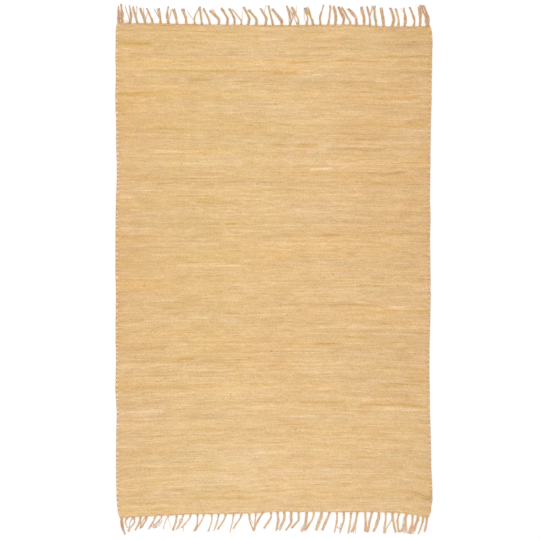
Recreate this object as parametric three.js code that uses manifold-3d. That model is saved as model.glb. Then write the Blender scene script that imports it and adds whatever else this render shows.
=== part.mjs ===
// A handwoven rag rug (chindi rug) lying flat on the floor, in millimetres.
// +X runs along the weft, +Y along the warp, +Z up, with the floor at z = 0.
// It has three pieces: the woven cloth, and at each end a fringe. A fringe is the
// narrow heading that holds the last pick, with the knotted warp ends fused into it.
import * as THREE from "three";
import { mergeVertices } from "three/addons/utils/BufferGeometryUtils.js";
import Module from "manifold-3d";

const wasm = await Module();
wasm.setup();

// Driving sizes of the cloth. The length is the one along the middle of the rug.
const CLOTH_WIDTH = 1200;
const CLOTH_LENGTH = 1852;
const THICKNESS = 5;
const HALF_WIDTH = CLOTH_WIDTH / 2;
const HALF_LENGTH = CLOTH_LENGTH / 2;

// The heading at each end, and the gap that parts it from the cloth.
const HEADING_WIDTH = 5;
const HEADING_GAP = 0.3;
const HEADING_HEIGHT = 4.6;

// The height of the rug's rim, where the yarns turn down to the floor.
const RIM_HEIGHT = 3.2;

// Hand weaving: rows along the cloth, how far its upper face rises and falls, how deep and
// how often the sides draw in, and how fast a curved end straightens out inwards.
const ROWS = 84;
const UNEVEN = 0.45;
const TURN_DEPTH = 1.5;
const TURN_RHYTHM = 2.3;
const BEND_FADE = 2.5;

// A lock of warp ends starts inside the heading. A stray lock is a thin one beside it.
const ROOT_DEPTH = 3;
const TOP_SHARE = 0.6;
const STRAY_WIDTH = 3.2;
const STRAY_REACH = 0.94;

// A table gives its column names, then a row for each place along an edge, or each tassel.
function table(names, rows) {
  const columns = names.split(" ");
  return rows.map((row) => Object.fromEntries(columns.map((name, i) => [name, row[i]])));
}

// How far the two ends stand out past the plain rectangle, from the left side to the right.
// The cloth has a column of faces between each two rows, the outer ones for its rims.
const ENDS = table("at far near", [
  [-600, 11, 19], [-593, 12, 19], [-550, 9, 17], [-450, 8, 12], [-360, 6, 7], [-270, 4, 5], [-180, 3, 5],
  [-90, 2, 3], [0, 1, -3], [90, 1, -4], [180, 3, -3], [270, 4, -3], [330, 2, -3],
  [390, -2, -2], [480, -4, 0], [550, -2, 9], [593, -3, 18], [600, -4, 19],
]);

// How far the two sides stand out past it, from the near end to the far end.
const SIDES = table("at left right", [
  [-926, -13, -13], [-905, -4, -4], [-885, -2, -3], [-860, -1, 2], [-797, -1, 0],
  [-720, 0, -3], [-607, -1, -5], [-531, -3, -8], [-455, 2, -9], [-341, 0, -10],
  [-227, 2, -8], [-113, 0, -5], [0, 2, -6], [115, 2, -8], [191, 1, -5], [267, 0, -8],
  [343, -3, -7], [400, -3, -6], [457, -1, -6], [571, 0, -4], [647, 3, -2], [723, 0, -1],
  [799, 2, 0], [875, 1, 2], [905, 0, -1], [926, -5, -5],
]);

// The tassels from left to right. root is the place along the plain end, lean the sideways
// shift of the tip, reach the length away from the edge, bow the sideways bulge halfway,
// width the breadth of the main lock, and stray the shift of a thin lock's tip, or 0.
const FAR_TASSELS = table("root lean reach bow width stray", [
  [-595, -1, 62, 0, 6, 0], [-582, -3, 70, 1, 6, 0], [-553, 0, 67, 5, 6, -15],
  [-523, -17, 65, 0, 6, 15], [-493, -20, 59, 1, 6, 16], [-466, -21, 57, 1, 7, 0],
  [-435, -7, 58, 1, 8, -16], [-404, -1, 65, -5, 6, 9], [-371, -15, 57, 0, 8, 0],
  [-336, -12, 58, 2, 8, 0], [-304, 12, 57, -7, 5, -34], [-276, -5, 67, 0, 6, 0],
  [-246, -24, 61, 4, 6, 0], [-212, -32, 55, 14, 5, 13], [-180, -21, 63, 10, 7, 0],
  [-152, -19, 61, 6, 5, 0], [-126, -32, 61, 9, 5, 0], [-100, -16, 67, 12, 7, 0],
  [-69, -26, 58, 11, 7, 0], [-33, -17, 64, 9, 6, 0], [-3, -18, 74, 0, 6, 0],
  [28, -32, 63, 11, 9, 0], [61, -12, 74, 10, 7, 0], [92, -24, 68, 9, 9, 0],
  [124, -6, 65, 6, 5, -9], [151, -21, 66, 0, 7, 0], [178, 11, 75, -5, 6, 0],
  [207, 8, 72, 1, 6, 0], [235, -6, 70, 3, 7, 0], [264, -16, 68, 8, 7, 0],
  [290, -28, 66, 8, 6, 0], [317, -29, 62, 9, 8, 0], [345, -9, 70, 0, 7, 0],
  [368, -11, 74, 0, 5, 15], [392, -8, 76, 1, 5, 0], [421, -11, 71, 0, 9, 0],
  [451, -3, 70, 10, 8, 0], [476, -9, 70, 3, 6, 0], [500, -2, 70, 3, 6, -10],
  [535, -14, 72, 8, 6, 0], [559, 4, 81, 0, 7, -14], [589, -12, 78, 3, 10, 0],
]);
const NEAR_TASSELS = table("root lean reach bow width stray", [
  [-592, 12, 59, -1, 8, 0], [-570, 1, 49, -6, 5, 0], [-545, -16, 52, 11, 5, 0],
  [-519, -19, 50, 3, 6, 0], [-494, -28, 44, 0, 5, 14], [-460, -26, 48, 2, 5, 13],
  [-436, -27, 40, 9, 4, 0], [-408, -21, 50, -6, 4, 26], [-378, -14, 57, 3, 6, 0],
  [-352, -27, 57, 6, 5, 0], [-324, -34, 51, 7, 5, 0], [-297, -16, 64, 6, 5, 0],
  [-271, -24, 59, 4, 5, 0], [-242, -12, 65, 3, 6, 0], [-215, -17, 62, 1, 6, 0],
  [-187, -30, 57, 6, 6, 0], [-156, -14, 67, -2, 6, 0], [-126, -30, 57, 2, 7, 0],
  [-96, 10, 65, -5, 6, 0], [-70, -5, 65, -1, 5, 0], [-42, -22, 58, -1, 6, 0],
  [-12, -24, 60, 7, 7, 0], [13, -3, 70, 5, 6, 0], [39, -15, 68, 7, 7, 0],
  [67, -18, 69, 10, 6, 0], [95, -21, 61, 12, 7, 0], [127, -20, 74, 8, 7, 0],
  [155, -31, 70, 1, 6, 0], [185, -19, 69, 1, 8, 0], [217, -29, 69, 1, 7, 0],
  [244, -9, 75, 2, 6, 0], [271, -14, 79, 7, 6, 0], [299, -9, 79, 1, 8, 0],
  [325, -18, 77, 1, 8, 0], [354, 1, 73, 0, 6, 0], [381, -15, 73, 0, 7, 0],
  [408, -20, 73, 5, 8, 0], [434, -8, 79, 1, 7, 0], [460, 10, 75, -4, 6, -33],
  [487, -3, 72, -6, 6, 0], [515, -21, 67, -5, 5, 13], [538, -13, 70, 4, 7, 0],
  [560, -22, 65, 2, 8, 0], [580, -17, 65, 4, 6, 0], [593, -8, 49, 0, 6, 0],
]);

// A lock's cross-sections from root to tip: the share of its length, its breadth as a
// share of the tassel's width, and its height. The second row is the knot.
const LOCK_RINGS = table("share breadth height", [
  [0, 1, 4.2], [0.11, 1.3, 5.2], [0.24, 0.85, 3.8], [0.5, 1, 3.4], [0.76, 1.15, 3], [1, 1.3, 2.4],
]);

// The value of a column between the rows of an edge table.
function between(edge, column, place) {
  const next = edge.findIndex((row, i) => i > 0 && row.at >= place);
  const from = edge[next - 1];
  const to = edge[next];
  return THREE.MathUtils.mapLinear(place, from.at, to.at, from[column], to[column]);
}

// A point of the laid cloth, from a place x, y of the plain rectangle. The sides draw
// x in or out evenly across; the ends bend the picks near them and fade inwards.
function laid(x, y) {
  const rightShare = (1 + x / HALF_WIDTH) / 2;
  const farShare = (1 + y / HALF_LENGTH) / 2;
  const right = rightShare * between(SIDES, "right", y);
  const left = (1 - rightShare) * between(SIDES, "left", y);
  const far = farShare ** BEND_FADE * between(ENDS, "far", x);
  const near = (1 - farShare) ** BEND_FADE * between(ENDS, "near", x);
  return { x: x + right - left, y: y + far - near };
}

// The gentle rise and fall of the upper face over the whole rug.
function unevenness(x, y) {
  const broad = Math.sin(x / 170 + 1.3 * Math.sin(y / 260)) * Math.sin(y / 145 + 0.4);
  const fine = Math.sin(x / 61 + y / 97) * Math.sin(y / 43 - x / 210);
  return UNEVEN * (broad + 0.6 * fine);
}

// Moves every point of a box geometry and leaves one closed surface of positions.
// place gets the point, in shares of the box from 0 to 1 along each axis.
function shaped(box, place) {
  const points = box.attributes.position;
  const point = new THREE.Vector3();
  for (let i = 0; i < points.count; i++) {
    place(point.fromBufferAttribute(points, i).addScalar(0.5));
    points.setXYZ(i, point.x, point.y, point.z);
  }
  box.deleteAttribute("normal");
  box.deleteAttribute("uv");
  return mergeVertices(box, 1e-4);
}

// The woven cloth: a slab with the outline of the laid rug and the slight unevenness of
// hand weaving. Its rims are low, and drawn in a little by each turn of the weft.
function wovenCloth() {
  const columns = ENDS.length - 1;
  return shaped(new THREE.BoxGeometry(1, 1, 1, columns, ROWS, 1), (p) => {
    const column = Math.round(p.x * columns);
    const along = 2 * p.y - 1;
    const { x, y } = laid(ENDS[column].at, along * HALF_LENGTH);
    const rim = column === 0 || column === columns;
    const turn = rim ? TURN_DEPTH * Math.sin((TURN_RHYTHM * ROWS * (along + 1)) / 2) ** 2 : 0;
    const inset = along * (HEADING_WIDTH + HEADING_GAP);
    const top = rim ? RIM_HEIGHT : THICKNESS + unevenness(x, y);
    p.set(x - Math.sign(x) * turn, y - inset, p.z > 0.5 ? top : 0);
  });
}

// The heading at one end, which is 1 for the far end and -1 for the near one.
function heading(end) {
  const columns = ENDS.length - 1;
  return shaped(new THREE.BoxGeometry(1, 1, 1, columns, 1, 1), (p) => {
    const column = Math.round((end > 0 ? p.x : 1 - p.x) * columns);
    const edge = laid(ENDS[column].at, end * HALF_LENGTH);
    const isInner = p.y < 0.5;
    const top = isInner && column > 0 && column < columns ? HEADING_HEIGHT : RIM_HEIGHT;
    p.set(edge.x, edge.y - (isInner ? end * HEADING_WIDTH : 0), p.z > 0.5 ? top : 0);
  });
}

// One four-sided lock of warp ends, lying level on the floor from the heading to its tip.
function lock(end, { root, lean, reach, bow, width }) {
  const start = laid(root, end * HALF_LENGTH);
  const steps = LOCK_RINGS.length - 1;
  return shaped(new THREE.BoxGeometry(1, 1, 1, 1, steps, 1), (p) => {
    const { share, breadth, height } = LOCK_RINGS[Math.round(p.y * steps)];
    const isTop = p.z > 0.5;
    const sway = lean * share + 4 * bow * share * (1 - share);
    const side = (p.x - 0.5) * width * breadth * (isTop ? TOP_SHARE : 1) * end;
    const away = (ROOT_DEPTH + reach) * share - ROOT_DEPTH;
    p.set(start.x + sway + side, start.y + away * end, isTop ? height : 0);
  });
}

// The main lock of a tassel, and its stray lock if it has one.
function tasselLocks(end, tassel) {
  if (!tassel.stray) return [lock(end, tassel)];
  const lean = tassel.lean + tassel.stray;
  const reach = tassel.reach * STRAY_REACH;
  return [lock(end, tassel), lock(end, { ...tassel, lean, reach, width: STRAY_WIDTH })];
}

// Joins closed geometries into one.
function joined(geometries) {
  const solids = geometries.map((geometry) => {
    const vertProperties = geometry.attributes.position.array;
    const triVerts = new Uint32Array(geometry.index.array);
    return new wasm.Manifold(new wasm.Mesh({ numProp: 3, vertProperties, triVerts }));
  });
  const mesh = solids.reduce((sum, solid) => sum.add(solid)).getMesh();
  return new THREE.BufferGeometry()
    .setAttribute("position", new THREE.BufferAttribute(mesh.vertProperties, 3))
    .setIndex(new THREE.BufferAttribute(mesh.triVerts, 1));
}

function fringe(end, tassels) {
  return joined([heading(end), ...tassels.flatMap((tassel) => tasselLocks(end, tassel))]);
}

const ragCotton = new THREE.MeshStandardMaterial({ color: 0xe3be89, roughness: 0.95, metalness: 0 });
const warpCotton = new THREE.MeshStandardMaterial({ color: 0xd4b08c, roughness: 0.95, metalness: 0 });

function piece(name, geometry, material) {
  geometry.computeVertexNormals();
  const mesh = new THREE.Mesh(geometry, material);
  mesh.name = name;
  return mesh;
}

const rug = new THREE.Group();
rug.add(
  piece("woven_cloth", wovenCloth(), ragCotton),
  piece("fringe_far_end", fringe(1, FAR_TASSELS), warpCotton),
  piece("fringe_near_end", fringe(-1, NEAR_TASSELS), warpCotton),
);

// The origin goes on the floor under the middle of the rug and its fringes.
const middle = new THREE.Box3().setFromObject(rug).getCenter(new THREE.Vector3());
rug.position.set(-middle.x, -middle.y, 0);

export default rug;
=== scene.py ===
"""The looks of a handwoven rag rug (a chindi rug) that lies flat on a pale floor.

The cloth is one closed sheet with a rib for each pick of rag weft, turned round at the
sides. Two thin cotton picks, the heading, close each end. There the warp ends are drawn
together, knotted and left as loose tassels. Lengths are worked out in millimetres and
become metres when a mesh is made.
"""

import math

import bpy
import numpy as np
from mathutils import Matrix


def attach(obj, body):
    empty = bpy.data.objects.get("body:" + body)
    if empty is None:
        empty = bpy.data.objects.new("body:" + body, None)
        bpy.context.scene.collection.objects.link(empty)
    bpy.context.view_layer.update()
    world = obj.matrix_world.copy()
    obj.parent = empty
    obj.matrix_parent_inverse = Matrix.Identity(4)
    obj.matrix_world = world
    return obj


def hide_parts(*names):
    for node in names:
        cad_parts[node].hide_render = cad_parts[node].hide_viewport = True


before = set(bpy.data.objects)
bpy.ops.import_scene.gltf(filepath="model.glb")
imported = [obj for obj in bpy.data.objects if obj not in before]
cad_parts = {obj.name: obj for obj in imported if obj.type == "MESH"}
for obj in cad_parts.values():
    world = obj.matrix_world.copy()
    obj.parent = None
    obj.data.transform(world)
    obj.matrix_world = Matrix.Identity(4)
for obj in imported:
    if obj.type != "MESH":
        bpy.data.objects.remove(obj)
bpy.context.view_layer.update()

MM = 0.001
SEED = 11

# Driving sizes of the cloth, as in the solids. The length is the one along the middle.
CLOTH_WIDTH = 1200.0
CLOTH_LENGTH = 1852.0
HALF_WIDTH = CLOTH_WIDTH / 2
HALF_LENGTH = CLOTH_LENGTH / 2
THICKNESS = 5.0
HEADING = 5.3
UNEVEN = 0.45
BEND_FADE = 2.5

# The weave: plain, 244 picks of rag weft over 258 cotton warp ends, which stand a little
# wider apart towards the right side.
PICKS = 244

# The photograph's frame: its side in pixels, the millimetres that a pixel shows of the
# rug, and the pixel above the middle of the plain cloth.
PHOTO_SIDE = 540
MM_PER_PIXEL = 3.8
PHOTO_MIDDLE = (274.0, 269.3)


def table(names, rows):
    """Column names in one string, then rows of numbers, as a dictionary of arrays."""
    return dict(zip(names.split(), np.array(rows, float).T))


# The number of warp ends from the left side.
WARPS = table("at number", [(-600, 0), (220, 184), (600, 258)])

# How far the two ends stand out past the plain rectangle, from the left side to the right.
ENDS = table("at far near", [
    (-600, 11, 19), (-593, 12, 19), (-550, 9, 17), (-450, 8, 12), (-360, 6, 7), (-270, 4, 5),
    (-180, 3, 5), (-90, 2, 3), (0, 1, -3), (90, 1, -4), (180, 3, -3), (270, 4, -3), (330, 2, -3),
    (390, -2, -2), (480, -4, 0), (550, -2, 9), (593, -3, 18), (600, -4, 19),
])

# How far the two sides stand out past it, from the near end to the far end.
SIDES = table("at left right", [
    (-926, -13, -13), (-905, -8, -4), (-885, -5, -3), (-860, -2, 2), (-797, -1, 0), (-720, 0, -3),
    (-607, -1, -5), (-531, -3, -8), (-455, 2, -9), (-341, 0, -10), (-227, 2, -8), (-113, 0, -5),
    (0, 2, -6), (115, 2, -8), (191, 1, -5), (267, 0, -8), (343, -3, -7), (400, -3, -6),
    (457, -1, -6), (571, 0, -4), (647, 3, -2), (723, 0, -1), (799, 2, 0), (875, 1, 2),
    (905, 0, -1), (926, -5, -5),
])

# The tassels from left to right. root is the place along the plain end, lean the sideways
# shift of the tip, reach the length away from the edge, bow the sideways bulge, knee the
# share of the length where it bends, and width and tip the breadth at the knee and tip.
FAR_TASSELS = table("root lean reach bow knee width tip", [
    (-595, -1, 62, 0, 0.45, 11, 4), (-582, -4, 70, 2, 0.4, 9.5, 6), (-553, -1, 67, 6, 0.4, 9, 7),
    (-523, -17, 65, 0, 0.3, 8, 7.5), (-493, -19, 59, 2, 0.25, 9, 9),
    (-466, -21, 57, 4, 0.25, 8.5, 7), (-435, -6, 58, 1, 0.3, 10, 9),
    (-404, -1, 65, -5, 0.5, 10, 6), (-371, -15, 57, 2, 0.35, 9, 13),
    (-336, -12, 58, 3, 0.3, 9, 14), (-304, 14, 58, -7, 0.52, 6.5, 5),
    (-276, -9, 67, 0, 0.4, 7, 7), (-246, -24, 61, 5, 0.3, 8.5, 9),
    (-212, -32, 55, 13, 0.42, 9.5, 7), (-180, -21, 63, 11, 0.4, 9, 8),
    (-152, -19, 61, 8, 0.4, 8, 9), (-126, -32, 59, 9, 0.27, 5.5, 5),
    (-100, -16, 67, 12, 0.36, 9, 9), (-69, -26, 58, 12, 0.36, 10, 9),
    (-33, -17, 64, 10, 0.42, 9.5, 8), (-3, -18, 74, 0, 0.4, 8, 7),
    (28, -33, 62, 10, 0.25, 10, 6.5), (61, -12, 74, 6, 0.45, 8, 8), (92, -24, 68, 9, 0.32, 7, 14),
    (124, -6, 65, 7, 0.4, 7, 10), (151, -24, 66, 1, 0.25, 8.5, 9),
    (178, 11, 75, -6, 0.35, 7.5, 6), (207, 9, 72, 2, 0.4, 8, 8), (235, -6, 70, 4, 0.6, 9.5, 8),
    (264, -16, 68, 8, 0.35, 9, 8), (290, -29, 66, 7, 0.18, 8, 9),
    (317, -30, 62, 9, 0.42, 11.5, 8), (345, -9, 70, 3, 0.4, 9, 11),
    (368, -11, 74, 3, 0.35, 7.5, 7), (392, -9, 76, 1, 0.4, 8, 13),
    (421, -11, 71, 0, 0.35, 10, 11), (451, -3, 70, 9, 0.3, 12, 10), (476, -9, 70, 5, 0.4, 8, 8),
    (500, -2, 70, 4, 0.5, 10, 5), (535, -14, 72, 8, 0.33, 7.5, 7), (559, 3, 81, 1, 0.5, 9, 14),
    (589, -17, 78, 4, 0.4, 18, 12),
])
NEAR_TASSELS = table("root lean reach bow knee width tip", [
    (-592, 12, 61, -4, 0.55, 10.5, 7), (-570, -1, 38, -6, 0.5, 7, 3.5),
    (-545, -21, 55, 11, 0.35, 6, 9), (-519, -19, 50, 6, 0.4, 8, 6),
    (-494, -24, 44, 5, 0.35, 6, 5.5), (-460, -25, 49, 3, 0.4, 5.5, 6),
    (-436, -27, 40, 6, 0.4, 3.5, 4), (-408, -21, 50, -3, 0.4, 4.5, 4),
    (-378, -14, 59, 3, 0.35, 7, 7), (-352, -27, 57, 6, 0.4, 5.5, 5),
    (-324, -34, 51, 7, 0.3, 5.5, 6), (-297, -13, 64, 6, 0.6, 5, 5.5),
    (-271, -33, 62, 4, 0.35, 5.5, 5.5), (-242, -12, 65, 5, 0.4, 5, 6.5),
    (-215, -17, 62, 3, 0.4, 5, 5), (-187, -30, 57, 5, 0.35, 5.5, 6),
    (-156, -14, 68, 1, 0.4, 4.5, 4.5), (-126, -30, 57, 4, 0.25, 6, 6.5),
    (-96, 16, 65, -6, 0.4, 6, 7), (-70, -5, 64, -1, 0.5, 5, 7), (-42, -33, 58, -2, 0.4, 6, 7),
    (-12, -26, 60, 10, 0.42, 7.5, 10), (13, -4, 70, 5, 0.5, 8.5, 8),
    (39, -16, 68, 8, 0.4, 8.5, 8), (67, -19, 70, 10, 0.62, 8.5, 8),
    (95, -24, 61, 13, 0.55, 8, 10), (127, -20, 74, 8, 0.62, 8, 12),
    (155, -33, 70, 8, 0.35, 6.5, 8), (185, -21, 69, 3, 0.3, 11.5, 9),
    (217, -29, 69, 2, 0.3, 8.5, 8), (244, -9, 75, 4, 0.5, 6.5, 5), (271, -14, 79, 6, 0.4, 7, 6),
    (299, -10, 79, 3, 0.4, 8.5, 8), (325, -20, 77, 2, 0.4, 8, 17), (354, 1, 74, 1, 0.4, 7.5, 13),
    (381, -17, 74, 0, 0.3, 8, 12), (408, -20, 73, 5, 0.35, 10.5, 10), (434, -8, 79, 3, 0.5, 7, 8),
    (460, 12, 75, -3, 0.4, 9, 9), (487, -3, 72, -6, 0.35, 7, 8), (515, -14, 70, 0, 0.3, 13, 22),
    (538, -12, 70, 5, 0.5, 8, 14), (560, -24, 67, 4, 0.35, 11, 15), (580, -18, 66, 3, 0.45, 7, 6),
    (593, -8, 52, 2, 0.4, 8.5, 9),
])

# Locks that are paler or rosier than the rest, or deeper or greener where below 0.
FAR_LOCK_TONES = table("lock paler rosier", [
    (1, -5, 3), (2, -3, 3), (3, -3, 2), (5, 3, 1), (6, -5, 2), (8, 0, 5), (10, 5, 0), (11, 4, 0),
    (14, 5, 0), (16, 0, -1), (21, -3, -4), (22, 3, -2), (26, 0, 2), (27, 2, -2), (28, 3, -3),
    (29, 4, 0), (33, 0, 2), (36, 1, 4), (37, 4, -1), (40, 0, 3), (41, -1, 4), (42, -5, 4),
])
NEAR_LOCK_TONES = table("lock paler rosier", [
    (1, -6, 1), (3, -2, 0), (4, 0, 1), (6, 3, 5), (7, 15, 5), (8, 24, 1), (9, 3, 1), (10, 9, 2),
    (11, 3, 5), (14, 9, 0), (15, 5, 0), (17, 7, 1), (18, 4, -2), (22, 4, 0), (23, 4, -1),
    (24, 4, -4), (26, 4, 0), (27, 4, 0), (29, 4, -2), (31, 9, -2), (32, 3, 0), (41, 5, 0),
    (42, 0, 4), (44, 0, -4), (45, -4, 4),
])

# Thin locks that part from a tassel, counted from the left. fork is the share of the
# length where it parts, shift its own lean, bend its share of the bow, yarns how many, and
# paler how much paler they are.
FAR_STRAYS = table("lock fork shift long bend yarns paler", [
    (3, 0.08, -15, 0.97, 0.2, 2, -4), (4, 0.2, 14, 0.98, 1, 3, 9), (5, 0.3, 12, 1, 1, 1, 0),
    (5, 0.1, 24, 0.85, 1, 1, 6), (7, 0.3, -17, 0.95, 1, 2, -12), (7, 0.4, -6, 0.98, 1, 2, 6),
    (8, 0.15, 9, 0.8, -0.3, 2, 4), (9, 0.5, 6, 1, 1, 1, 0), (11, 0.12, -40, 0.96, 0.2, 1, -14),
    (14, 0.42, 13, 1.08, 1, 2, 0), (15, 0.6, 7, 0.97, 1, 1, 0), (24, 0.08, 2, 1, -0.4, 2, 0),
    (25, 0.1, -3, 0.9, -0.6, 1, 6), (23, 0, 4, 0.75, 2.4, 2, -4), (29, 0.75, -10, 0.97, 1, 1, 0),
    (32, 0.8, -9, 1, 1, 1, 0), (34, 0.42, 18, 0.98, 1, 2, 8), (35, 0.7, -8, 1, 1, 1, 4),
    (37, 0.6, -6, 1, 1, 1, 0), (39, 0.7, -11, 1, 1, 1, 0), (41, 0.15, -10, 0.92, 0, 2, 8),
    (42, 0.6, 6, 0.97, 1, 2, 0),
])
NEAR_STRAYS = table("lock fork shift long bend yarns paler", [
    (3, 0.08, 1, 0.96, -0.5, 3, 5), (4, 0.3, 7, 0.6, 1, 1, 0), (5, 0.3, 5, 1, 1, 1, 2),
    (5, 0, -2, 1, -0.9, 2, -9), (8, 0.1, 27, 1, 0, 1, 0), (10, 0.15, -8, 0.5, 1, 1, 0),
    (10, 0.7, 5, 0.9, 1, 1, 4), (19, 0, 6, 0.6, 0.6, 1, 6), (22, 0.7, 8, 1.1, 1, 1, 2),
    (24, 0.7, -8, 1, 1, 1, 4), (32, 0.65, -10, 0.7, 1, 1, 0), (38, 0.6, 6, 1, 1, 2, 3),
    (39, 0.2, -37, 0.97, 0, 2, -4), (41, 0.15, 14, 1, 0.5, 3, 7), (41, 0.2, 7, 1, 1, 1, 3),
    (43, 0.4, -8, 1, 1, 2, 0),
])

# Single yarns that curl loose, each drawn towards a middle point. x is the place on the
# floor, and away is measured from the end.
FAR_CURLS = table("from_x from_away mid_x mid_away to_x to_away", [
    (-594, 36, -587, 42, -579, 38), (-573, 5, -563, 10, -553, 4), (-122, 12, -120, 34, -121, 56),
    (-38, 46, -34, 62, -31, 78), (84, 42, 85, 58, 86, 74), (-272, 46, -265, 49, -258, 45),
])
NEAR_CURLS = table("from_x from_away mid_x mid_away to_x to_away", [
    (-455, 8, -466, 34, -448, 44), (-434, 12, -434, 36, -462, 44), (-427, 16, -430, 40, -456, 46),
    (-436, 14, -444, 26, -456, 32), (-442, 22, -452, 34, -466, 40), (-487, 2, -486, 20, -508, 44),
    (-541, 6, -548, 22, -552, 40), (-356, 16, -362, 26, -358, 38), (-346, 46, -345, 54, -344, 64),
    (254, 66, 247, 63, 240, 55), (253, 64, 246, 62, 239, 57),
])


def laid(x, y):
    """Plain places to places on the floor: the sides carry x in or out evenly across, and
    the ends bend the picks near them, by the share along to the power BEND_FADE."""
    right_share = (1 + x / HALF_WIDTH) / 2
    far_share = np.clip((1 + y / HALF_LENGTH) / 2, 0, 1)
    right = right_share * np.interp(y, SIDES["at"], SIDES["right"])
    left = (1 - right_share) * np.interp(y, SIDES["at"], SIDES["left"])
    far = far_share**BEND_FADE * np.interp(x, ENDS["at"], ENDS["far"])
    near = (1 - far_share) ** BEND_FADE * np.interp(x, ENDS["at"], ENDS["near"])
    return x + right - left, y + far - near


def unevenness(x, y):
    """The rise and fall of the upper face, as in the solids: a broad product of sines of the
    place, and a finer one at 0.6 of its height."""
    broad = np.sin(x / 170 + 1.3 * np.sin(y / 260)) * np.sin(y / 145 + 0.4)
    fine = np.sin(x / 61 + y / 97) * np.sin(y / 43 - x / 210)
    return UNEVEN * (broad + 0.6 * fine)


def eased(share):
    """A share cut off at 0 and 1, with a soft start and a soft end."""
    share = np.clip(share, 0, 1)
    return share * share * (3 - 2 * share)


def blend(start, end, share):
    """From start at a share of 0 to end at a share of 1."""
    return start + (end - start) * share


def bell(distance, half):
    """A bell curve that is 1 at no distance, and has faded to about a third at half."""
    return np.exp(-((distance / half) ** 2))


def soft_noise(rng, rows, columns, row_step, column_step):
    """Random values on a coarse grid, eased between its points, with a spread of one."""
    r = np.arange(rows) / row_step
    c = np.arange(columns) / column_step
    i, j = r.astype(int), c.astype(int)
    grid = rng.standard_normal((i[-1] + 2, j[-1] + 2))
    a = eased(r - i)[:, None]
    b = eased(c - j)[None, :]
    low = grid[i][:, j] * (1 - b) + grid[i][:, j + 1] * b
    high = grid[i + 1][:, j] * (1 - b) + grid[i + 1][:, j + 1] * b
    field = low * (1 - a) + high * a
    return field / field.std()


def layered(rng, rows, columns, layers):
    """The sum of soft noises, one for each row step, column step and spread."""
    return sum(
        spread * soft_noise(rng, rows, columns, row_step, column_step)
        for row_step, column_step, spread in layers
    )


def linear(colour):
    """An sRGB hex string, or an array of sRGB values from 0 to 1, as linear light."""
    if isinstance(colour, str):
        colour = np.array([int(colour[i : i + 2], 16) for i in (1, 3, 5)]) / 255
    low = colour / 12.92
    high = ((colour + 0.055) / 1.055) ** 2.4
    return np.where(colour <= 0.04045, low, high)


def make_mesh(name, points, face_sets, colours, domain, guide_name, guide):
    """One object from points in millimetres, sets of faces with like corner counts, a
    colour in 8-bit sRGB for each point or face corner, kept as linear light in the
    attribute dye, and a three-number guide for each point's pattern."""
    mesh = bpy.data.meshes.new(name)
    corners = np.concatenate([faces.ravel() for faces in face_sets])
    totals = np.concatenate([np.full(len(faces), faces.shape[1]) for faces in face_sets])
    starts = np.concatenate([[0], np.cumsum(totals)[:-1]])
    mesh.vertices.add(len(points))
    mesh.loops.add(len(corners))
    mesh.polygons.add(len(totals))
    mesh.vertices.foreach_set("co", (points * MM).astype(np.float32).ravel())
    mesh.loops.foreach_set("vertex_index", corners.astype(np.int32))
    mesh.polygons.foreach_set("loop_start", starts.astype(np.int32))
    mesh.polygons.foreach_set("use_smooth", np.full(len(totals), True))
    mesh.update(calc_edges=True)
    dye = mesh.attributes.new("dye", "FLOAT_COLOR", domain)
    rgba = np.column_stack([linear(np.clip(colours, 0, 255) / 255), np.ones(len(colours))])
    dye.data.foreach_set("color", rgba.astype(np.float32).ravel())
    pattern = mesh.attributes.new(guide_name, "FLOAT_VECTOR", "POINT")
    pattern.data.foreach_set("vector", guide.astype(np.float32).ravel())
    mesh.validate()
    piece = bpy.data.objects.new(name, mesh)
    bpy.context.scene.collection.objects.link(piece)
    return piece


# The dyes of the rags

# Tones in 8-bit sRGB. BASE is the golden beige of most rags. The others are the ways in
# which rags differ: paler, creamier in broad patches, more ochre, and more rose.
BASE = np.array([222.2, 185.3, 132.9])
PALER = np.array([0.43, 0.55, 0.72])
CREAMIER = np.array([0.22, 0.48, 0.85])
OCHRE = np.array([0.69, 0.24, -0.69])
ROSE = np.array([0.55, -0.79, 0.27])

# Each way's layers: picks and mesh columns from one change to the next, and the spread. A
# rag is folded along its middle, so each half of a pick has a tone of its own as well, and
# long thin lines run along it.
HALF_PALER_LAYERS = ((1, 3, 3.7), (1, 12, 2.5), (1, 24, 2.6))
LINE_LAYERS = ((1, 30, 2.0),)
LINE_SEED = SEED + 1
PALER_LAYERS = ((1, 1.2, 2.0), (1, 24, 2.0), (1, 40, 2.0), (2, 6, 1.3), (2, 12, 2.4), (2, 50, 2.1))
CREAMIER_LAYERS = ((80, 40, 1.2),)
OCHRE_LAYERS = (
    (1, 3, 0.8), (1, 12, 0.6), (2, 1.2, 0.7), (2, 12, 0.8), (2, 80, 0.9), (4, 3, 0.5), (4, 60, 1.0),
    (12, 60, 0.4), (80, 80, 0.6),
)
ROSE_LAYERS = ((1, 3, 0.7), (2, 1.2, 0.9), (1, 80, 0.3), (80, 40, 0.4))

# The rag strips: the least and most of a pick's length that one fills, and the spread of
# their tones.
STRIP_LENGTHS = (0.15, 1.3)
STRIP_SPREAD = 2.4

# The slow change of tone. From left to right it is painted light: paler towards the middle
# and deeper towards the sides, most of all on the right, where the light falls off. Along
# the rug it is creamier towards the near end.
PAINTED_LIGHT_CHANNELS = np.array([0.50, 0.67, 0.54])
PAINTED_LIGHT_ACROSS = table("at lighter", [
    (-600, -3), (-530, -2.6), (-440, 0), (-260, 2.2), (-100, 4.4), (15, 3.1), (200, 2.2),
    (290, -0.9), (426, -4.8), (517, -8), (600, -9.7),
])
ALONG = table("at creamier", [
    (-926, 5.5), (-560, 5.5), (-520, 3), (-440, 1), (-350, 0), (-100, -1.5), (100, -2), (400, -1),
    (480, -2.5), (800, -2), (926, 1),
])

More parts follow.
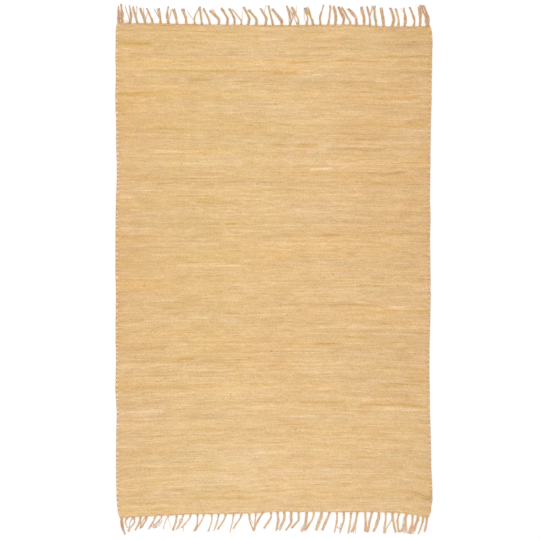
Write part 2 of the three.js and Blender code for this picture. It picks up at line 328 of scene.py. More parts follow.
# Broad soft patches of a tone of their own, by the place of the middle on the floor: how far
# across and along they fade, then how much creamier, more ochre and paler they are.
PATCHES = table("x y wide tall creamier ochre paler", [
    (-91, -725, 130, 60, 8.5, 0, 1), (-319, -839, 130, 50, 4, 0, 0), (175, -383, 60, 30, 4, 0, 1),
    (-528, -60, 120, 30, 0, 5, -1), (-319, 446, 150, 22, 0, 5, 2), (384, -162, 120, 22, 0, 5, 0),
    (-471, 674, 130, 22, 0, 3, -2), (-319, 28, 130, 30, 0, 2, -3), (61, 757, 90, 30, 0, 3, 1),
    (266, -573, 60, 50, 0, 0, -3), (418, -740, 70, 50, 0, -1, -3), (517, 852, 110, 70, 0, -2, -4),
    (213, 396, 130, 30, 3, 0, 1), (150, 206, 150, 25, 2, -1, 2), (-243, -288, 110, 25, 0, 3, 0),
    (-547, 225, 80, 45, 1, -3, 0), (-520, -288, 110, 30, 0, 0, -3), (-120, 610, 120, 40, 3, 0, 1),
    (-560, 860, 90, 60, 0, 0, -3), (480, 60, 120, 40, 0, 0, -2),
    (-281, 460, 130, 40, -4, 1, -1.5), (-262, 195, 130, 45, -4, 0, -1.5),
    (-270, -30, 110, 30, -4, 0, -1), (365, -98, 110, 40, -2, 0, -1.5),
    (403, 168, 100, 40, -1, 2, 2), (23, 73, 110, 40, 2, -1, 0), (-509, 810, 110, 45, 3, 0, 0),
    (-510, -706, 110, 40, 0, 0, 3.5), (-460, 700, 110, 35, 2.5, 0, 1),
    (330, 320, 100, 40, -1.5, 1, 0), (175, 195, 110, 25, -1, 0, 2),
    (420, 120, 110, 25, 1.5, -2, 0), (540, -230, 80, 35, -1.5, 0, 2),
    (-300, -290, 110, 40, 2, 0, 0), (-90, -500, 130, 60, 2, -1, 1), (190, -575, 110, 40, 2, 0, 0),
    (-150, -800, 150, 40, 2, 0, 1), (290, -650, 120, 170, 0, 0, -5),
    (-97, -379, 110, 70, 0, 0, -4), (190, 850, 420, 60, 0, 0, -3.5),
    (-290, 225, 120, 90, -2, 0, -1), (-290, -300, 120, 90, -1, 0, -2.5),
])

# Rags that stand out, by place on the floor: left and right end, place along the rug, how
# tall it is in half picks, and how strong. The last table holds no rags but thin dark lines
# of painted shadow in the gaps between picks.
OCHRE_RAGS = table("left right at tall share", [
    (-593, -471, 858, 3, 1), (-467, -414, 831, 1.5, 1), (-327, -236, 717, 2, 1.2),
    (-148, -84, 712, 1.2, 1.3), (-593, -433, 664, 4, 0.8), (-365, -277, 602, 1.5, 1),
    (-217, -84, 549, 1.2, 0.8), (255, 319, 797, 1.5, 1), (422, 593, 807, 2, 0.9),
    (441, 555, 653, 2.4, 1.1), (213, 448, 655, 2.4, 0.6), (4, 68, 550, 1.6, 1),
    (167, 384, 516, 2.4, 0.6), (346, 422, 560, 6, 0.5), (509, 585, 556, 5, 0.7),
    (-300, -152, 254, 2.4, 0.8), (-186, -144, 174, 2, 1.2), (308, 418, 204, 1.5, 0.8),
    (422, 593, 134, 2.4, 0.8), (186, 251, 132, 2, 0.9), (-186, -129, 27, 2, 1),
    (319, 403, -60, 1.6, 1.4), (-357, -281, -117, 2, 0.9), (-414, -338, -147, 2.4, 0.8),
    (536, 589, -244, 2, 1), (160, 239, -284, 1.5, 1.2), (414, 486, -445, 1.2, 0.9),
    (-547, -338, -447, 1.8, 0.7), (99, 232, -668, 2.4, 0.6), (312, 391, -716, 1.5, 1.1),
    (-198, -114, -770, 1.2, 0.9), (-327, -34, -869, 2, 1.1), (-593, -224, 172, 2.4, 0.5),
    (498, 574, -424, 2, 0.8), (-547, -483, -753, 1.3, 0.8), (-109, -68, -113, 1.2, 1),
])
BROWN_RAGS = table("left right at tall share", [
    (-262, 4, 792, 4, 0.5), (-42, 91, 746, 5, 0.8), (4, 213, 812, 1.5, 0.8),
    (65, 133, 786, 3, 0.9), (239, 255, 795, 1.5, 1.6), (308, 395, 492, 2, 1.4),
    (-103, -76, 476, 3, 0.9), (-8, 30, 473, 5, 1), (87, 160, 472, 5, 1.1),
    (-391, -274, 343, 1.2, 0.9), (-570, -391, 343, 1.2, 0.5), (270, 308, 56, 4, 1),
    (-593, -319, -29, 1.5, 0.7), (270, 460, -233, 1.2, 0.8), (-593, -555, -253, 2.4, 0.8),
    (-357, -300, -340, 2.4, 1.4), (99, 270, -504, 3, 0.8), (327, 585, -514, 3, 1),
    (-426, -331, -837, 1.6, 1.3), (376, 585, 911, 2.4, 0.6), (-593, -357, -348, 2.4, 0.7),
    (137, 403, -139, 3, 0.5), (441, 593, 347, 3, 0.6), (27, 167, 279, 2, 0.5),
])
PALE_RAGS = table("left right at tall share", [
    (-61, 38, 872, 1.5, 0.8), (144, 289, 741, 1.2, 0.9), (-509, -483, 643, 2, 1),
    (448, 547, 638, 2, 0.6), (-4, 118, 611, 1.5, 0.8), (509, 589, 526, 2.4, 1),
    (186, 414, 466, 1.2, 1), (-452, -281, 451, 1.2, 0.7), (110, 198, 451, 1.5, 0.8),
    (289, 327, 419, 1.2, 1), (205, 334, 400, 1.6, 1), (137, 228, 380, 1.6, 1.3),
    (-274, -190, 374, 1.6, 1), (-593, -540, 275, 1.5, 0.8), (-129, -53, 269, 1.2, 0.9),
    (-589, -471, 157, 2, 0.9), (448, 513, 113, 1.8, 1.2), (8, 65, 75, 1.2, 1),
    (179, 224, 80, 1.5, 1), (-369, -125, 14, 1.8, 1.1), (-194, -53, -84, 1.5, 0.8),
    (72, 99, -91, 1.8, 1.2), (160, 182, -91, 1.8, 1.2), (308, 353, -124, 1.5, 1),
    (433, 494, -143, 1.8, 1.3), (167, 194, -219, 1.6, 1), (236, 403, -321, 1.2, 0.7),
    (-338, -167, -382, 1.2, 0.8), (110, 251, -480, 1.2, 1), (-110, 30, -527, 3, 0.6),
    (422, 543, -531, 2.2, 0.9), (-559, -414, -540, 2, 1.3), (-110, -42, -698, 3, 0.7),
    (42, 160, -844, 1.2, 0.9), (-471, -357, -852, 1.8, 0.7), (-593, 4, 611, 1.2, 0.5),
    (-551, -422, 298, 1.2, 0.7), (-201, -129, -193, 1.6, 0.8), (-353, -262, -286, 1.2, 0.7),
])
# Thin lines of painted shadow where neighbouring picks part.
PAINTED_GAP_SHADOWS = table("left right at tall share", [
    (-593, 8, 901, 1.2, 0.6), (-357, -304, 792, 1.2, 1.2), (327, 445, 790, 1.2, 0.8),
    (467, 593, 748, 2, 0.7), (42, 365, 713, 1.2, 0.6), (213, 414, 458, 2.2, 0.7),
    (494, 593, 405, 1.2, 0.8), (456, 505, 367, 1.5, 1.3), (353, 456, 364, 1.5, 1.1),
    (365, 574, 322, 1.2, 0.7), (27, 289, 240, 1, 0.6), (414, 593, 210, 5, 0.4),
    (334, 395, 137, 1.5, 0.9), (494, 536, 56, 1.2, 1), (23, 99, -134, 1.2, 0.8),
    (156, 372, -135, 1.2, 0.7), (422, 593, -157, 1.2, 0.7), (-186, -129, -168, 1.2, 1),
    (23, 270, -283, 1.2, 0.8), (-490, -410, -295, 1.2, 0.8), (-593, -414, -303, 3, 0.5),
    (498, 536, -413, 1.2, 1.2), (403, 547, -434, 1.2, 1), (15, 118, -590, 1.2, 0.8),
    (-593, -433, -637, 1.2, 0.6), (289, 517, -696, 1.2, 0.6), (-384, -224, -732, 1.2, 0.7),
    (536, 593, -749, 1.2, 0.9),
])
MARKS = (
    (OCHRE_RAGS, np.array([-10.3, -12.2, -21.5])), (BROWN_RAGS, np.array([-6.3, -12.3, -17.2])),
    (PALE_RAGS, np.array([11.5, 13.5, 23.8])), (PAINTED_GAP_SHADOWS, np.array([-14.2, -15.0, -15.3])),
)
MARK_FADE = 14.0

# Two curved creases near the right end of the near edge, by place on the floor. They sink
# the cloth, and painted shade darkens their bottoms.
CREASES = (
    table("x y", [(508, -839), (537, -848), (556, -855), (576, -863), (593, -868)]),
    table("x y", [(504, -858), (537, -860), (556, -864), (571, -871), (585, -875)]),
)
CREASE_HALF = 2.2
CREASE_START = 20.0
CREASE_DEPTH = 1.4
CREASE_PAINTED_SHADE = 22.0


def creased(x, y):
    """From 0 to 1 in the bottom of a crease: a bell of the distance across its curve, with
    a soft start at its left end."""
    share = np.zeros_like(x)
    for crease in CREASES:
        away = y - np.interp(x, crease["x"], crease["y"])
        begun = eased((x - crease["x"][0]) / CREASE_START)
        share = np.maximum(share, bell(away, CREASE_HALF) * begun)
    return share


def rag_dyes(rng, x, y):
    """A colour for each half pick and mesh column, whose places on the floor are x and y.

    The weft is one long path to and fro, made of rag strips joined end to end, and each
    strip has its own tone. Folds in a strip and batches of like rags add softer changes.
    A mark lies on the half pick nearest to its place, and fades at its ends."""
    halves, columns = x.shape
    across = np.linspace(0, 1, columns)
    pick = np.arange(PICKS)[:, None]
    path = pick + np.where(pick % 2 == 0, across, 1 - across)
    joins = np.cumsum(rng.uniform(*STRIP_LENGTHS, 2 * PICKS))
    strip = np.searchsorted(joins, path)
    paler = STRIP_SPREAD * rng.standard_normal(2 * PICKS)[strip]
    paler = np.repeat(paler + layered(rng, PICKS, columns, PALER_LAYERS), 2, axis=0)
    paler = paler + layered(rng, halves, columns, HALF_PALER_LAYERS)
    line_rng = np.random.default_rng(LINE_SEED)
    paler = paler + layered(line_rng, halves, columns, LINE_LAYERS)
    # Painted light: the fall-off of light across the rug, deeper towards the sides.
    painted_light_falloff = np.interp(x, *PAINTED_LIGHT_ACROSS.values())
    creamier = np.repeat(layered(rng, PICKS, columns, CREAMIER_LAYERS), 2, axis=0)
    creamier = creamier + np.interp(y, *ALONG.values())
    ochre = np.repeat(layered(rng, PICKS, columns, OCHRE_LAYERS), 2, axis=0)
    for at_x, at_y, wide, tall, more_cream, more_ochre, more_pale in zip(*PATCHES.values()):
        patch = bell(x - at_x, wide) * bell(y - at_y, tall)
        creamier = creamier + more_cream * patch
        ochre = ochre + more_ochre * patch
        paler = paler + more_pale * patch
    rose = np.repeat(layered(rng, PICKS, columns, ROSE_LAYERS), 2, axis=0)
    colour = BASE + sum(
        amount[..., None] * way
        for amount, way in (
            (paler, PALER), (painted_light_falloff, PAINTED_LIGHT_CHANNELS), (creamier, CREAMIER), (ochre, OCHRE), (rose, ROSE),
        )
    )
    for marks, shift in MARKS:
        for left, right, at, tall, share in zip(*marks.values()):
            middle = (left + right) / 2
            column = np.abs(x[halves // 2] - middle).argmin()
            nearest = np.abs(y[:, column] - at).argmin()
            inside = ((right - left) / 2 - np.abs(x[nearest] - middle)) / MARK_FADE
            along = np.clip(inside + 0.5, 0, 1)
            upright = np.clip(tall / 2 + 0.5 - np.abs(np.arange(halves) - nearest), 0, 1)
            colour += share * upright[:, None, None] * along[None, :, None] * shift
    # Painted shade in the bottoms of the creases.
    return colour - CREASE_PAINTED_SHADE * creased(x, y)[..., None]


# The woven cloth

TOP_COLUMNS = 163
UNDER_EVERY = 5

# The rim is finer than the rest: its columns' distances from the side, and how far in its
# section is rounded.
RIM_STEPS = (0.0, 0.8, 2.2, 4.4, 6.6, 9.5)
RIM_ROUND = 3.4

# The picks differ in width, by this spread of its logarithm, and wobble along the rug, but
# not near the ends. Their crests swell, and there are valleys between them, with a deeper
# gap here and there. The ribs underneath are lower, just clear of the floor.
PICK_SPREAD = 0.12
WOBBLE = 0.5
WOBBLE_STEPS = (16, 9)
WOBBLE_CALM = 12
SWELL = 0.2
SWELL_STEPS = (1, 5)
VALLEY_DEPTH = 1.0
RIM_VALLEY_LESS = 0.7
GAP_STEPS = (1, 7)
GAP_START = 1.6
GAP_DEPTH = 0.5
UNDER_RIB = 0.8
UNDER_CLEAR = 0.02

# The weft turns round at the sides after one to three picks. Each turn bulges just inside
# the edge, with a notch between it and the next, and the outermost warp end draws in a
# groove, which hardly shows on the left. A painted highlight lightens each turn, and painted
# shade darkens the notches and the groove; the turns and notches show more on the left.
TURN_PICKS = (1, 2, 2, 3)
TURN_SIZES = (0.6, 1.3)
TURN_POWER = 0.9
TURN_OUT = 1.7
TURN_MEAN = 0.63
TURN_FADE = 3.8
NOTCH_DEPTH = 1.2
GROOVE_AT = 6.6
GROOVE_HALF = 1.6
GROOVE_DEPTH = 0.7
LOOP_AT = 4.0
LOOP_HALF = 3.0
TURN_PAINTED_HIGHLIGHT = np.array([20.0, 23.0, 36.0])
NOTCH_PAINTED_SHADOW = np.array([72.0, 80.0, 68.0])
GROOVE_PAINTED_SHADE = np.array([9.0, 7.0, 10.0])
LEFT_TURNS_SHOW = 1.3
RIGHT_TURNS_SHOW = 0.8
LEFT_GROOVE_SHOWS = 0.25


def weft_turns(rng, rows):
    """For one side, how far each row is inside a turn, as a half wave of its place in the
    turn to the power TURN_POWER, and the same times the turn's size."""
    starts = np.concatenate([[0], np.cumsum(rng.choice(TURN_PICKS, PICKS))])
    at = np.arange(rows) / 2
    turn = np.searchsorted(starts, at, side="right") - 1
    share = (at - starts[turn]) / (starts[turn + 1] - starts[turn])
    half_wave = np.maximum(np.sin(math.pi * np.clip(share, 0, 1)), 0) ** TURN_POWER
    return half_wave, half_wave * rng.uniform(*TURN_SIZES, PICKS)[turn]


def cloth_sheet(rng):
    """The cloth as a closed grid. Each row is a ring: across the top from rim to rim, then
    back underneath. Rows alternate between the valley and the crest of a pick. A point's
    height is that of the middle between the crest and the underside, plus its face's
    distance from there times a quarter ellipse of its distance from the rim. The rims
    swing out and in with the turns of the weft."""
    widths = np.exp(PICK_SPREAD * rng.standard_normal(PICKS))
    edges = np.concatenate([[0], np.cumsum(widths)])
    edges = (edges / edges[-1] * 2 - 1) * (HALF_LENGTH - HEADING)
    rows = 2 * PICKS + 1
    y_row = np.empty(rows)
    y_row[0::2] = edges
    y_row[1::2] = (edges[1:] + edges[:-1]) / 2

    rim = HALF_WIDTH - np.array(RIM_STEPS)
    inner = np.linspace(-rim[-1], rim[-1], TOP_COLUMNS - 2 * len(rim) + 2)
    x_top = np.concatenate([-rim, inner[1:-1], rim[::-1]])
    under = np.arange(TOP_COLUMNS - 2, 0, -UNDER_EVERY)
    ringed = np.concatenate([np.arange(TOP_COLUMNS), under])
    is_top = np.arange(len(ringed)) < TOP_COLUMNS
    x_plain, y_plain = np.meshgrid(x_top[ringed], y_row)

    wobble = WOBBLE * soft_noise(rng, rows, TOP_COLUMNS, *WOBBLE_STEPS)[:, ringed]
    calm = 1 - (np.abs(y_row) / HALF_LENGTH)[:, None] ** WOBBLE_CALM
    x, y = laid(x_plain, y_plain + wobble * calm)

    on_left = x_plain < 0
    rim_distance = HALF_WIDTH - np.abs(x_plain)
    near_rim = np.exp(-rim_distance / TURN_FADE)
    left, right = weft_turns(rng, rows), weft_turns(rng, rows)
    inside, bulge = [
        np.where(on_left, one[:, None], other[:, None]) for one, other in zip(left, right)
    ]
    x = x + np.sign(x_plain) * TURN_OUT * (bulge - TURN_MEAN) * near_rim

    is_valley = (np.arange(rows) % 2 == 0)[:, None]
    gap = np.clip(soft_noise(rng, rows, TOP_COLUMNS, *GAP_STEPS) - GAP_START, 0, 1)
    gap = gap[:, ringed] * is_valley
    swell = SWELL * soft_noise(rng, rows, TOP_COLUMNS, *SWELL_STEPS)[:, ringed]
    groove = bell(rim_distance - GROOVE_AT, GROOVE_HALF) * np.where(on_left, LEFT_GROOVE_SHOWS, 1)
    crest = THICKNESS + unevenness(x, y) + swell
    cut = is_valley * (VALLEY_DEPTH * (1 - RIM_VALLEY_LESS * near_rim) + GAP_DEPTH * gap)
    cut = cut + NOTCH_DEPTH * (1 - inside) * near_rim + GROOVE_DEPTH * groove
    top = crest - cut - CREASE_DEPTH * creased(x, y)
    bottom = UNDER_RIB * is_valley + UNDER_CLEAR
    middle = (crest + bottom) / 2
    round_off = np.sqrt(1 - (1 - np.clip(rim_distance / RIM_ROUND, 0, 1)) ** 2)
    z = middle + (np.where(is_top, top, bottom) - middle) * round_off

    ring = len(ringed)
    r = np.arange(rows - 1)[:, None] * ring
    c = np.arange(ring)[None, :]
    n = (c + 1) % ring
    quads = np.stack([r + c, r + n, r + ring + n, r + ring + c], axis=-1).reshape(-1, 4)

    # Each end is closed by strips that join UNDER_EVERY top columns to one below.
    below = TOP_COLUMNS + np.arange(len(under))[::-1]
    first = 1 + UNDER_EVERY * np.arange(len(under) - 1)[:, None]
    strips = np.hstack([below[:-1, None], first + np.arange(UNDER_EVERY + 1), below[1:, None]])
    corners = np.array([[0, 1, below[0]], [TOP_COLUMNS - 2, TOP_COLUMNS - 1, below[-1]]])
    last_ring = (rows - 1) * ring
    caps = [strips[:, ::-1], corners[:, ::-1], last_ring + strips, last_ring + corners]

    # The half picks meet in sharp lines, so each face corner takes the tone of its own half.
    centre_x = (x[1:, :TOP_COLUMNS] + x[:-1, :TOP_COLUMNS]) / 2
    centre_y = (y[1:, :TOP_COLUMNS] + y[:-1, :TOP_COLUMNS]) / 2
    dyes = rag_dyes(rng, centre_x, centre_y)[:, ringed]
    # Painted light at the rims: a highlight on each turn, and shade in the notches and the groove.
    shows = np.where(on_left, LEFT_TURNS_SHOW, RIGHT_TURNS_SHOW)
    loops = bell(rim_distance - LOOP_AT, LOOP_HALF)
    shade = TURN_PAINTED_HIGHLIGHT * (inside * loops * shows)[..., None] - GROOVE_PAINTED_SHADE * groove[..., None]
    shade = shade - NOTCH_PAINTED_SHADOW * ((1 - inside) * near_rim * shows)[..., None]
    faces = [quads] + caps
    halves = [np.arange(rows - 1).repeat(4 * ring)]
    halves += [np.full(cap.size, half) for cap, half in zip(caps, (0, 0, rows - 2, rows - 2))]
    corner = np.concatenate([group.ravel() for group in faces])
    colours = dyes[np.concatenate(halves), corner % ring] + shade.reshape(-1, 3)[corner]

    # The guide counts warp ends and picks, and holds the gap between two picks.
    points = np.stack([x, y, z], axis=-1).reshape(-1, 3)
    pick = np.broadcast_to((np.arange(rows) / 2)[:, None], x.shape)
    counts = np.stack([np.interp(x_plain, *WARPS.values()), pick, gap], axis=-1)
    counts = counts.reshape(-1, 3)
    return make_mesh("woven_rag_cloth", points, faces, colours, "CORNER", "weave", counts)


# The fringes


def tubes(paths, radii, sides, rise):
    """Tubes along many paths at once: paths is count by steps by 3, radii count by steps.
    A ring stands at each step, on the level and upright normals of the path, with rise
    times the radius upwards. The guide holds the length along, and the cosine and sine of
    the place round the ring."""
    count, steps, _ = paths.shape
    along = np.gradient(paths, axis=1)
    along /= np.linalg.norm(along, axis=2, keepdims=True)
    level = np.cross(along, (0.0, 0.0, 1.0))
    level /= np.linalg.norm(level, axis=2, keepdims=True)
    upright = np.cross(level, along) * rise
    angle = np.arange(sides) * 2 * math.pi / sides
    ring = (
        np.cos(angle)[:, None] * level[:, :, None, :]
        + np.sin(angle)[:, None] * upright[:, :, None, :]
    )
    points = paths[:, :, None, :] + radii[:, :, None, None] * ring
    gone = np.linalg.norm(np.diff(paths, axis=1, prepend=paths[:, :1]), axis=2).cumsum(axis=1)
    guide = np.stack(np.broadcast_arrays(gone[..., None], np.cos(angle), np.sin(angle)), axis=-1)
    start = (np.arange(count) * steps * sides)[:, None, None]
    base = start + (np.arange(steps - 1) * sides)[None, :, None]
    c = np.arange(sides)[None, None, :]
    n = (c + 1) % sides
    corners = np.broadcast_arrays(base + c, base + sides + c, base + sides + n, base + n)
    quads = np.stack(corners, axis=-1)
    first = start[:, 0] + c[0]
    last = start[:, 0] + (steps - 1) * sides + c[0][:, ::-1]
    return points.reshape(-1, 3), quads.reshape(-1, 4), first, last, guide.reshape(-1, 3)


def tube_mesh(name, groups):
    """One object from groups of tubes. Each group holds the paths, the radii, the number of
    sides, the colours of the steps, and how much the tubes are stretched upwards."""
    points, quads, caps, guides, dyes = [], [], {}, [], []
    offset = 0
    for paths, radii, sides, colours, rise in groups:
        places, faces, first, last, guide = tubes(paths, radii, sides, rise)
        points.append(places)
        quads.append(faces + offset)
        caps.setdefault(sides, []).extend([first + offset, last + offset])
        guides.append(guide)
        dyes.append(np.repeat(colours.reshape(-1, 3), sides, axis=0))
        offset += len(places)
    faces = [np.concatenate(quads)] + [np.concatenate(group) for group in caps.values()]
    return make_mesh(
        name, np.concatenate(points), faces, np.concatenate(dyes), "POINT", "strand",
        np.concatenate(guides),
    )


# Tones of the cotton in 8-bit sRGB, at the two ends, with a row for each channel: the locks,
# their tips, their roots, the inner and outer pick of the heading, and the loose curls. The
# outer pick is darker with painted shade of the cloth's end.
FAR_TONES = table("lock tip root inner outer curl", [
    (226, 218, 216, 251, 226, 232), (185, 184, 174, 205, 182, 204),
    (141, 149, 122, 144, 132, 180),
])
NEAR_TONES = table("lock tip root inner outer curl", [
    (232, 226, 224, 252, 234, 222), (195, 194, 184, 211, 197, 187),
    (154, 160, 138, 153, 147, 160),
])

# The warp ends start inside the heading, by a share of its breadth. They are gathered at the
# edge, drawn together to a neck, and open again beyond it.
ROOTED = 0.4
GATHER_HALF = 3.8
GATHER_SHARE = 0.9
NECK_SHARE = 0.65
NECK_AT = 9.0
OPENS_OVER = 9.0
TIP_FROM = 0.45
KNEE_SOFTNESS = 0.14
TENT_SCALE = 1.23

# The number of yarns in a lock, from the breadth of its knee or a share of that of its tip.
YARNS_PER_MM = 0.85
TIP_COUNTS = 0.8
LEAST_YARNS = 3

# The yarns: how far they spread at random, sink from the cloth to the floor, and taper. The
# steps are a little closer together near the root. A stray's yarns are thin and close.
YARN_RADIUS = 0.95
YARN_STEPS = 20
YARN_SIDES = 6
STEP_POWER = 1.1
PLACE_SPREAD = 0.08
REACH_SPREAD = 0.02
RADIUS_SPREAD = 0.1
YARN_DRIFT = 0.28
DRIFT_STEP = 5
DRIFT_WHOLE_AT = 0.25
DRIFT_LIFT = 0.2
LAYER_RISE = 1.5
LAYER_ROUND = 1.2
LAYER_SINKS = 0.3
SINKS_FROM = 0.5
REST_HEIGHT = 0.15
LEAVES_AT = 2.4
LANDS_AT = 12.0
TAPER = 0.15
TAPER_FROM = 0.8
STRAY_BREADTH = 0.35
STRAY_SPAN = 0.8
LONE_STRAY_AT = 0.1
STRAY_THINNER = 0.12

# How the tones of the cotton vary: from lock to lock, from yarn to yarn and along a yarn.
# The tips fade to their own tone, and so do the roots, some of which are darkened with
# painted shadow.
LOCK_PALER_SPREAD = 3.0
LOCK_ROSE_SPREAD = 2.5
TONED_SPREAD = 0.4
YARN_TONE_SPREAD = 3.5
ALONG_TONE_SPREAD = 4.0
PALER_STEP = 3
ROSE_STEP = 4
ROOT_PAINTED_SHADOW = (-6, 16)
ROOT_FADE_FROM = 2.0
ROOT_FADE = 10.0
TIP_FADE = 9.0
TIP_SHOWS = (0.2, 1)
YARN_PALER = 1.6


def yarn_table(rng, tassels, strays):
    """Each yarn's lock, place across it from -1 to 1, layer, and share of its breadth, then
    where it forks off, its own shift, its length as a share, its share of the bow, and how
    much paler it is."""
    rows = []
    for k in range(len(tassels["root"])):
        own = strays["lock"] == k + 1
        broadest = max(tassels["width"][k], TIP_COUNTS * tassels["tip"][k])
        count = round(broadest * YARNS_PER_MM) - int(strays["yarns"][own].sum())
        for n, across in enumerate(np.linspace(-1, 1, max(count, LEAST_YARNS))):
            rows.append((k, across, n % 2, 1, 0, 0, 1, 1, 0))
        for s in np.flatnonzero(own):
            parts = [strays[name][s] for name in ("fork", "shift", "long", "bend", "paler")]
            yarns = int(strays["yarns"][s])
            places = np.linspace(-STRAY_SPAN, STRAY_SPAN, yarns)
            for across in places if yarns > 1 else (LONE_STRAY_AT,):
                rows.append((k, across, 0, STRAY_BREADTH, *parts))
    rows = np.array(rows)
    rows[:, 1] += rng.normal(0, PLACE_SPREAD, len(rows))
    return rows


def lock_middle(tassels, k, q, end):
    """The middle line of the locks k, at shares q of their length. The plain place is the
    root plus lean times the share, plus the bow times a tent that peaks at the knee: the
    soft minimum of the share over the knee and the rest over its rest, scaled to one."""
    knee = tassels["knee"][k][:, None]
    rising = q / knee
    falling = (1 - q) / (1 - knee)
    tent = (rising + falling - np.sqrt((rising - falling) ** 2 + KNEE_SOFTNESS)) / 2
    root_x, root_y = laid(tassels["root"], np.full(len(tassels["root"]), end * HALF_LENGTH))
    middle = root_x[k][:, None] + tassels["lean"][k][:, None] * q
    return middle, tent * tassels["bow"][k][:, None] * TENT_SCALE, root_y[k][:, None]


def lock_tone(rng, locks, spread, toned, shifts):
    """A random tone for each lock, less random on the locks with a shift of their own."""
    tone = spread * rng.standard_normal(locks)
    tone[toned] = TONED_SPREAD * tone[toned] + shifts
    return tone


def yarn_tone(rng, count, lock_part, column_step):
    """The lock's tone, plus a random one for each yarn and a soft change along it."""
    tone = lock_part + YARN_TONE_SPREAD * rng.standard_normal((count, 1))
    return tone + ALONG_TONE_SPREAD * soft_noise(rng, count, YARN_STEPS, 1, column_step)


def lock_yarns(end, tassels, strays, lock_tones, tones, rng):
    """The yarns of all locks. Those of a lock lie side by side in two layers, at right
    angles to its middle line, and drift a little across. Half the lock's breadth goes from
    the gathered edge to the neck, the knee and the tip."""
    rows = yarn_table(rng, tassels, strays)
    k = rows[:, 0].astype(int)
    across, layer, thin, fork, shift, long, bend, own_paler = rows[:, 1:].T[:, :, None]
    count = len(rows)
    locks = len(tassels["root"])
    q = np.linspace(0, 1, YARN_STEPS)[None, :] ** STEP_POWER
    middle, bow, root_y = lock_middle(tassels, k, q * long, end)
    reach = tassels["reach"][k][:, None] * long * (1 + rng.normal(0, REACH_SPREAD, (count, 1)))
    away = reach * q
    opened = eased((away - NECK_AT) / OPENS_OVER)
    knee_half = tassels["width"][k][:, None] / 2 - YARN_RADIUS
    tip_half = tassels["tip"][k][:, None] / 2 - YARN_RADIUS
    root_half = np.maximum(GATHER_HALF, knee_half * GATHER_SHARE)
    half = blend(root_half, NECK_SHARE * knee_half, eased(away / NECK_AT))
    half = blend(half, knee_half, opened)
    half = blend(half, tip_half, eased((q - TIP_FROM) / (1 - TIP_FROM)))
    half = half * blend(1, thin, opened)

    drift = YARN_DRIFT * soft_noise(rng, count, YARN_STEPS, 1, DRIFT_STEP)
    drift = drift * eased(q / DRIFT_WHOLE_AT)
    forked = (q - fork) / (1 - fork)
    line = middle + bow * bend + shift * (eased(forked) + np.clip(forked, 0, 1)) / 2
    slope = np.gradient(line, axis=1) / np.gradient(away, axis=1) * opened
    sideways = half * (across + drift) / np.sqrt(1 + slope**2)
    x = line + sideways
    y = root_y + end * (away - HEADING * ROOTED - slope * sideways)
    stack = LAYER_RISE * layer * np.sqrt(np.clip(LAYER_ROUND - across**2, 0, 1))
    sunk = LAYER_SINKS * eased((q - SINKS_FROM) / (1 - SINKS_FROM))
    stack = stack * eased(away / NECK_AT) * (1 - sunk)
    stack = stack + DRIFT_LIFT * np.abs(drift / YARN_DRIFT)
    z = YARN_RADIUS + REST_HEIGHT + stack + LEAVES_AT * (1 - eased(away / LANDS_AT))
    paths = np.stack([x, y, z], axis=-1)
    radius = YARN_RADIUS * np.exp(RADIUS_SPREAD * rng.standard_normal((count, 1)))
    radius = radius * (1 - TAPER * eased((q - TAPER_FROM) / (1 - TAPER_FROM)))
    radius = radius * (1 - STRAY_THINNER * (thin < 1))

    toned = lock_tones["lock"].astype(int) - 1
    lock_paler = lock_tone(rng, locks, LOCK_PALER_SPREAD, toned, lock_tones["paler"])
    lock_rose = lock_tone(rng, locks, LOCK_ROSE_SPREAD, toned, lock_tones["rosier"])
    # Painted shadow at the roots of some locks.
    root_painted_shadow = rng.uniform(*ROOT_PAINTED_SHADOW, locks)[k][:, None, None]
    paler = yarn_tone(rng, count, lock_paler[k][:, None] + own_paler, PALER_STEP)
    rose = yarn_tone(rng, count, lock_rose[k][:, None], ROSE_STEP)
    at_tip = eased((away - reach + TIP_FADE) / TIP_FADE) * rng.uniform(*TIP_SHOWS, (count, 1))
    at_root = (1 - eased((away - ROOT_FADE_FROM) / ROOT_FADE))[..., None]
    colours = blend(tones["lock"], tones["tip"], at_tip[..., None])
    colours = colours + (tones["root"] - tones["lock"] - root_painted_shadow) * at_root
    colours = colours + paler[..., None] * PALER * YARN_PALER + rose[..., None] * ROSE
    return paths, radius, YARN_SIDES, colours, 1


# Short fibres that stand out of the cut end of each yarn, and start a little inside it.
FIBRES_PER_YARN = 3
FIBRE_SIDES = 3
FIBRE_RADIUS = 0.25
FIBRE_STEPS = 4
FIBRE_STARTS = -0.3
FIBRE_LENGTHS = (1.5, 4.5)
FIBRE_SIDE_SPREAD = 1.1
FIBRE_RISE_SPREAD = 0.5
FIBRE_LOWEST = 0.4
FIBRE_TAPER = 0.4
FIBRE_TONE_SPREAD = 6.0


